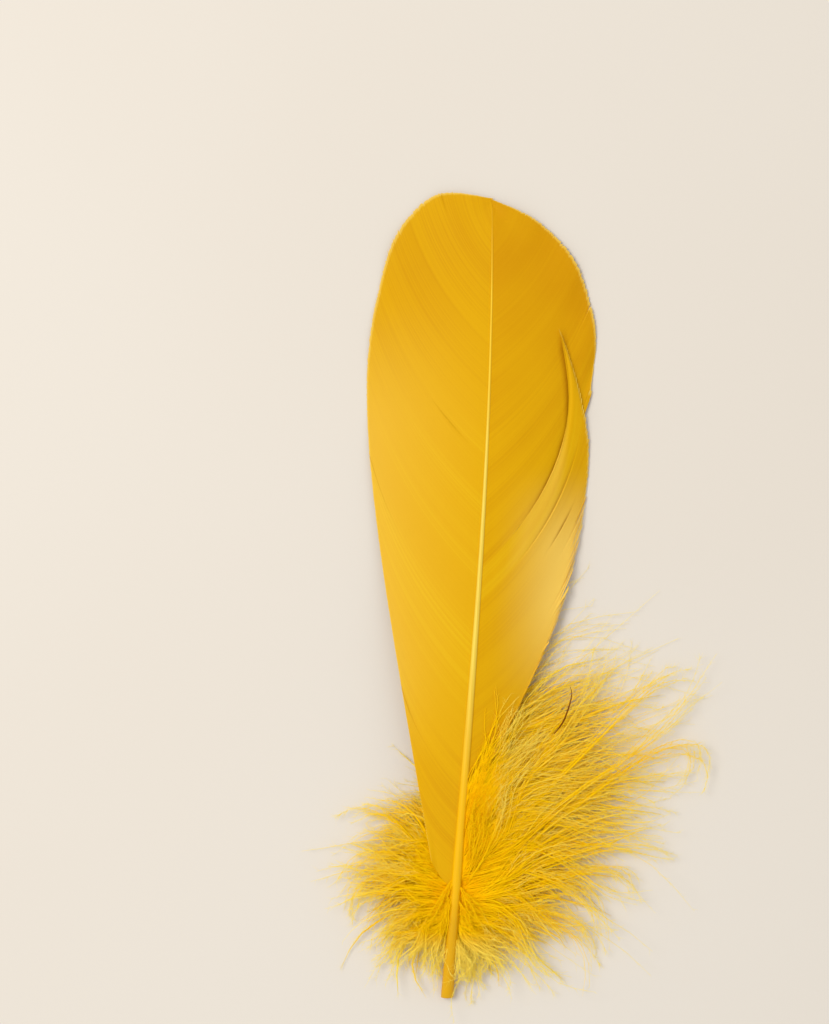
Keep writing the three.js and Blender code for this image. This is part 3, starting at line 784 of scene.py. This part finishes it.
# Wisps: barbs along one drawn line that wave, come apart towards its end and stop at different places.
def wispPaths(side, rng):
    tuft = np.repeat(np.arange(len(side["wisps"])), side["barbs"])
    u = np.linspace(0.0, 1.0, side["steps"])[None, :]
    reach = u * rng.uniform(*down["wispStops"], (len(tuft), 1))
    paths = np.stack([curveThrough(side["wisps"][wisp], share) for wisp, share in zip(tuft, reach)])
    apart = bell(rng, (len(tuft), 1, 3)) * np.array(down["wispShape"]) * side["apart"]
    across = unit(np.cross(unit(np.gradient(paths, axis=1)), up))
    waved = across * barbWave(rng, len(tuft), u)[..., None]
    paths = paths + waved + apart * reach[..., None]
    paths[..., 2] = np.maximum(paths[..., 2], down["clearance"] + side["barbRadius"][1])
    return paths, u, tuft


# Barbules: straight needles that leave a barb anywhere along it, at a slant, all round it but flattened.
def barbuleEnds(paths, count, rng):
    favoured = (len(paths) * rng.uniform(size=count) ** down["fluff"]).astype(int)   # some are fluffier
    carrier = rng.permutation(len(paths))[favoured]
    at = rng.uniform(down["barbuleFrom"], 1.0, count) ** down["barbulePower"] * (paths.shape[1] - 1)
    step = np.minimum(at.astype(int), paths.shape[1] - 2)
    before, after = paths[carrier, step], paths[carrier, step + 1]
    ahead = unit(after - before)
    sideOf = unit(np.cross(ahead, up))
    roll = rng.uniform(0.0, 2 * np.pi, (count, 1))
    upwards = np.cross(sideOf, ahead) * np.sin(roll) * down["barbuleFlatness"]
    outwards = sideOf * np.cos(roll) + upwards
    slant = np.radians(rng.uniform(*down["slant"], (count, 1)))
    size = rng.uniform(*down["barbuleLength"], (count, 1))
    roots = mix(before, after, (at - step)[:, None])
    tips = roots + size * (ahead * np.cos(slant) + outwards * np.sin(slant))
    tips[:, 2] = np.maximum(tips[:, 2], down["clearance"] / 2)
    return roots, tips, carrier, at / (paths.shape[1] - 1)


# How pale the down is: paler along each barb, away from the shaft and towards the quill's end.
def paleness(side, share, points):
    x, y = points[..., 0], points[..., 1]
    low = down["lowPale"] * (1.0 - ease(y, *down["lowPaleHeights"]))
    beside = mix(down["besidePale"], 1.0, ease(np.abs(x - shaftX(y)), *down["deepBeside"]))
    return np.maximum(mix(side["paleFrom"], 1.0, share) * beside, low)


# Down: barbs as tubes that swell from the root and taper to the tip, with barbules as finer needles along
# them. The flat plumes underneath stand for barbs whose barbules lie close.
def makeDown(side, vaneSide):
    rng = np.random.default_rng(side["seed"])
    paths, u, tuft = wispPaths(side, rng) if "wisps" in side else downPaths(side, vaneSide, rng)
    count = len(paths)
    swell = mix(down["rootSwell"], 1.0, ease(u, 0.0, down["swellBy"])) * (1.0 - u) ** side["pointed"]
    radius = rng.uniform(*side["barbRadius"], (count, 1)) * swell + down["tipRadius"]
    ownTone, tuftTone = rng.uniform(size=(count, 1)), rng.uniform(size=tuft[-1] + 1)[tuft, None]
    tone = mix(*side["tones"], (ownTone + tuftTone) / 2)
    along = paleness(side, u, paths)
    roots, tips, carrier, fineAt = barbuleEnds(paths, side["barbules"], rng)
    fineRadius = rng.uniform(*down["barbuleRadius"], side["barbules"])
    fineAlong = paleness(side, fineAt, roots)
    fineTone = np.minimum(tone[carrier, 0] + down["barbuleTone"], 1.0)
    fine = {"alongBarb": fineAlong, "barbTone": fineTone}
    if "darkLine" in side:
        paths = np.concatenate([paths, curveThrough(side["darkLine"], u)])
        darkLineSwell = down["darkLineSwell"] * np.sin(np.pi * u ** down["darkLineLean"])
        radius = np.concatenate([radius, down["darkLineRadius"] + darkLineSwell])
        tone = np.concatenate([tone, [[down["darkLineTone"]]]])
        along = np.concatenate([along, u])
    turned = rng.uniform(-down["roll"], down["roll"], len(paths)) * (side["sides"] == 3)
    roll = np.pi / 2 + turned                        # a ridge on top, turned a little on thin barbs
    rings = tubeRings(paths, radius, side["sides"], roll, side["flatness"])
    attributes = {"alongBarb": along, "barbTone": tone}
    piece = carriedMesh(side["name"], rings, attributes, downMaterial, smooth=side["sides"] > 3)
    finePiece = needleMesh(side["name"] + "Fine", roots, tips, fineRadius, fine, downMaterial)
    bpy.ops.object.select_all(action="DESELECT")
    finePiece.select_set(True)
    piece.select_set(True)
    bpy.context.view_layer.objects.active = piece
    bpy.ops.object.join()
    return piece


for side in downPieces:
    finishPiece(makeDown(side, leftVane if side["side"] < 0 else rightVane), side["node"])
print("feather dressed")

# Stage: a pale floor, a soft key light from the left and an even sky
stage = {
    "floorSize": 8.0, "floor": colour(227, 221, 212), "floorCloud": colour(225, 218, 208),
    "cloudScale": 5.0, "cloudDetail": 2.0, "cloudRange": (0.3, 0.7), "floorRough": 0.8, "floorShine": 0.15,
    "keyPlace": (-0.456, 0.206, 0.866), "keySize": 0.5, "keyPower": 5.4, "keyColour": (1.0, 0.96, 0.9),
    "sky": (1.0, 0.985, 0.965), "skyStrength": 0.65,
}


def makeFloor():
    reach = stage["floorSize"] / 2
    mesh = bpy.data.meshes.new("floor")
    corners = [(-reach, -reach, 0), (reach, -reach, 0), (reach, reach, 0), (-reach, reach, 0)]
    mesh.from_pydata(corners, [], [(0, 1, 2, 3)])
    material, tree = makeMaterial("paleFloor")
    place = addNode(tree, "TexCoord").outputs["Object"]
    cloud = stretch(tree, noise(tree, place, stage["cloudScale"], stage["cloudDetail"]), *stage["cloudRange"])
    tint = mixColour(tree, cloud, stage["floorCloud"], stage["floor"])
    skin = addNode(tree, "BsdfPrincipled", Base_Color=tint, Roughness=stage["floorRough"],
                   Specular_IOR_Level=stage["floorShine"])
    addNode(tree, "OutputMaterial", Surface=skin.outputs[0])
    mesh.materials.append(material)
    floor = bpy.data.objects.new("floor", mesh)
    bpy.context.collection.objects.link(floor)


def makeLights():
    data = bpy.data.lights.new("key", "AREA")
    data.shape, data.size = "DISK", stage["keySize"]
    data.energy, data.color = stage["keyPower"], stage["keyColour"]
    key = bpy.data.objects.new("key", data)
    key.location = stage["keyPlace"]
    key.rotation_euler = (-key.location).to_track_quat("-Z", "Y").to_euler()
    bpy.context.collection.objects.link(key)
    world = bpy.data.worlds.new("sky")
    world.use_nodes = True
    sky = world.node_tree.nodes["Background"]
    sky.inputs["Color"].default_value = (*stage["sky"], 1.0)
    sky.inputs["Strength"].default_value = stage["skyStrength"]
    bpy.context.scene.world = world


# Camera: straight down, over the middle of the photograph, with its scale taken at the surface.
photo = {"size": (829, 1024), "quillPixel": (447, 996), "mmPerPixel": 0.21144, "lens": 85.0, "sensor": 36.0}


def makeCamera():
    data = bpy.data.cameras.new("camera")
    data.lens, data.sensor_width = photo["lens"], photo["sensor"]
    camera = bpy.data.objects.new("camera", data)
    middleX = (photo["size"][0] / 2 - photo["quillPixel"][0]) * photo["mmPerPixel"] + quillEnd[0]
    middleY = (photo["quillPixel"][1] - photo["size"][1] / 2) * photo["mmPerPixel"] + quillEnd[1]
    distance = photo["size"][1] * photo["mmPerPixel"] * photo["lens"] / photo["sensor"]
    camera.location = (middleX * mm, middleY * mm, distance * mm)
    bpy.context.collection.objects.link(camera)
    bpy.context.scene.camera = camera


makeFloor()
makeLights()
makeCamera()
bpy.context.scene.view_settings.view_transform = "Standard"
print("stage set")
